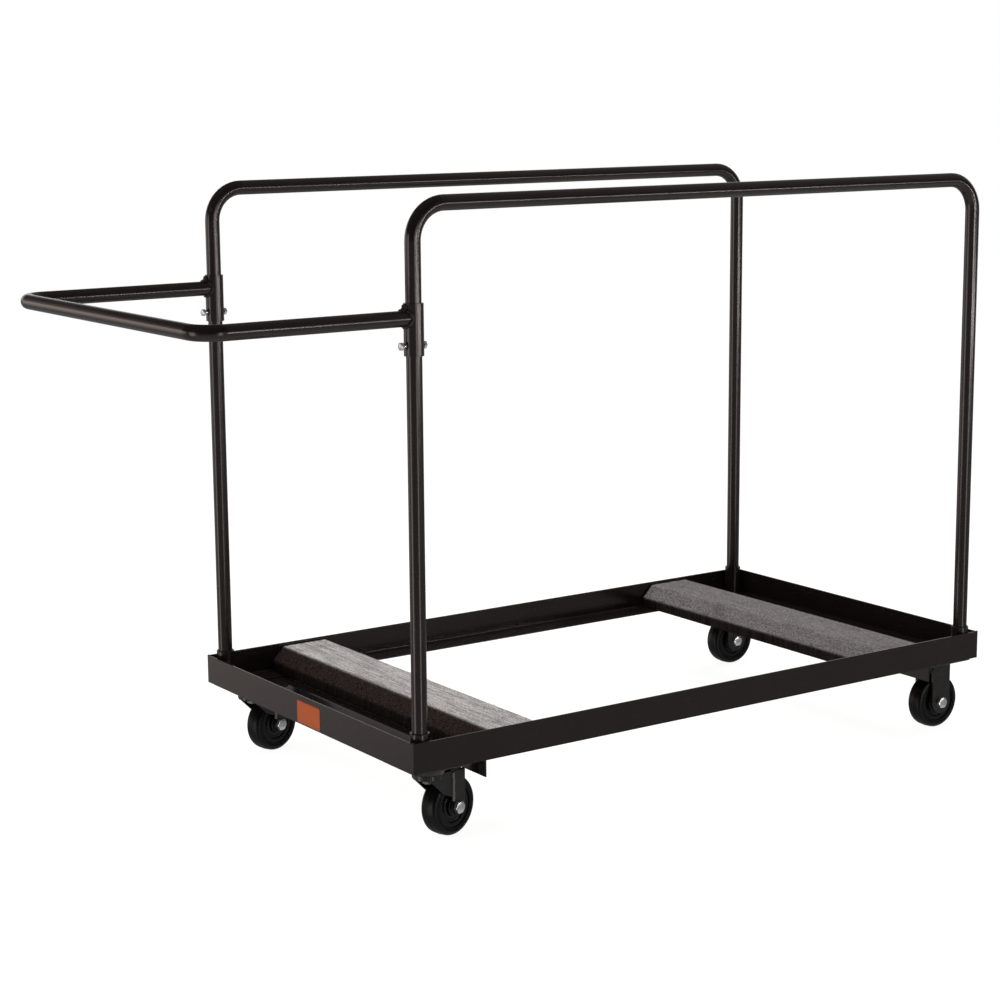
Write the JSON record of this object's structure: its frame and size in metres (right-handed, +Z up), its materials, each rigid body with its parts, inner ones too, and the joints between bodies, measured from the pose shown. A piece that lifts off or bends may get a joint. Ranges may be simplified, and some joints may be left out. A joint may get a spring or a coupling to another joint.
{
  "type": "banquet table trolley",
  "caption": "Low angle-steel table cart on swivel and rigid casters, with tube hoops along both sides, a U-shaped push handle and bevelled carpet-covered deck boards.",
  "frame": {"origin": "on the floor under the middle of the trolley's overall box, handle included", "axes": "+X forward, away from the handle; +Y to the left of a person pushing; +Z up"},
  "size_m": [1.6158, 0.704, 1.0472],
  "materials": {
    "powder_coat": "satin dark brown-black powder coat on steel",
    "caster_coat": "black coated pressed steel",
    "zinc_plate": "bright zinc plate",
    "bearing_steel": "ground bearing steel",
    "board_wood": "bare softwood",
    "carpet": "grey low-pile needle-punch carpet",
    "sticker": "orange vinyl film",
    "tyre": "hard black rubber",
    "wheel_core": "black moulded polyolefin"
  },
  "bodies": {
    "base": {"side_rail_left": "powder_coat", "side_rail_right": "powder_coat", "end_rail_rear": "powder_coat", "end_rail_front": "powder_coat", "cross_angle_rear": "powder_coat", "cross_angle_front": "powder_coat", "post_socket_rear_left": "powder_coat", "post_socket_rear_right": "powder_coat", "post_socket_front_left": "powder_coat", "post_socket_front_right": "powder_coat", "deck_board_rear": "board_wood", "deck_carpet_rear": "carpet", "deck_board_front": "board_wood", "deck_carpet_front": "carpet", "deck_screws": "zinc_plate", "sticker": "sticker", "swivel_plate_left": "caster_coat", "rigid_fork_left": "caster_coat", "kingpin_left": "zinc_plate", "kingpin_nut_left": "zinc_plate", "swivel_balls_left": "bearing_steel", "swivel_plate_right": "caster_coat", "rigid_fork_right": "caster_coat", "kingpin_right": "zinc_plate", "kingpin_nut_right": "zinc_plate", "swivel_balls_right": "bearing_steel", "axle_bolt_front_left": "zinc_plate", "axle_nut_front_left": "zinc_plate", "axle_sleeve_front_left": "bearing_steel", "axle_bolt_front_right": "zinc_plate", "axle_nut_front_right": "zinc_plate", "axle_sleeve_front_right": "bearing_steel"},
    "uprights": {"hoop_left": "powder_coat", "hoop_right": "powder_coat", "handle_bar": "powder_coat", "handle_sleeve_left": "powder_coat", "handle_sleeve_right": "powder_coat", "handle_bolts": "zinc_plate", "handle_nuts": "zinc_plate"},
    "swivel_left": {"swivel_fork_left": "caster_coat", "axle_bolt_rear_left": "zinc_plate", "axle_nut_rear_left": "zinc_plate", "axle_sleeve_rear_left": "bearing_steel"},
    "swivel_right": {"swivel_fork_right": "caster_coat", "axle_bolt_rear_right": "zinc_plate", "axle_nut_rear_right": "zinc_plate", "axle_sleeve_rear_right": "bearing_steel"},
    "wheel_rear_left": {"tyre_rear_left": "tyre", "wheel_core_rear_left": "wheel_core", "hub_bearing_rear_left": "bearing_steel"},
    "wheel_rear_right": {"tyre_rear_right": "tyre", "wheel_core_rear_right": "wheel_core", "hub_bearing_rear_right": "bearing_steel"},
    "wheel_front_left": {"tyre_front_left": "tyre", "wheel_core_front_left": "wheel_core", "hub_bearing_front_left": "bearing_steel"},
    "wheel_front_right": {"tyre_front_right": "tyre", "wheel_core_front_right": "wheel_core", "hub_bearing_front_right": "bearing_steel"}
  },
  "joints": [
    {"name": "uprights_lift", "type": "slide", "parent": "base", "child": "uprights", "axis": [0, 0, 1], "range_m": [0, 0.055]},
    {"name": "swivel_left_turn", "type": "hinge", "parent": "base", "child": "swivel_left", "pos_m": [-0.39515, 0.298, 0.1355], "axis": [0, 0, 1], "continuous": true},
    {"name": "wheel_rear_left_spin", "type": "hinge", "parent": "swivel_left", "child": "wheel_rear_left", "pos_m": [-0.34975, 0.31016, 0.0508], "axis": [-0.2588, 0.9659, 0], "continuous": true},
    {"name": "wheel_front_left_spin", "type": "hinge", "parent": "base", "child": "wheel_front_left", "pos_m": [0.74685, 0.298, 0.0508], "axis": [0, 1, 0], "continuous": true},
    {"name": "swivel_right_turn", "type": "hinge", "parent": "base", "child": "swivel_right", "pos_m": [-0.39515, -0.298, 0.1355], "axis": [0, 0, 1], "continuous": true},
    {"name": "wheel_rear_right_spin", "type": "hinge", "parent": "swivel_right", "child": "wheel_rear_right", "pos_m": [-0.34975, -0.28584, 0.0508], "axis": [-0.2588, 0.9659, 0], "continuous": true},
    {"name": "wheel_front_right_spin", "type": "hinge", "parent": "base", "child": "wheel_front_right", "pos_m": [0.74685, -0.298, 0.0508], "axis": [0, 1, 0], "continuous": true}
  ]
}
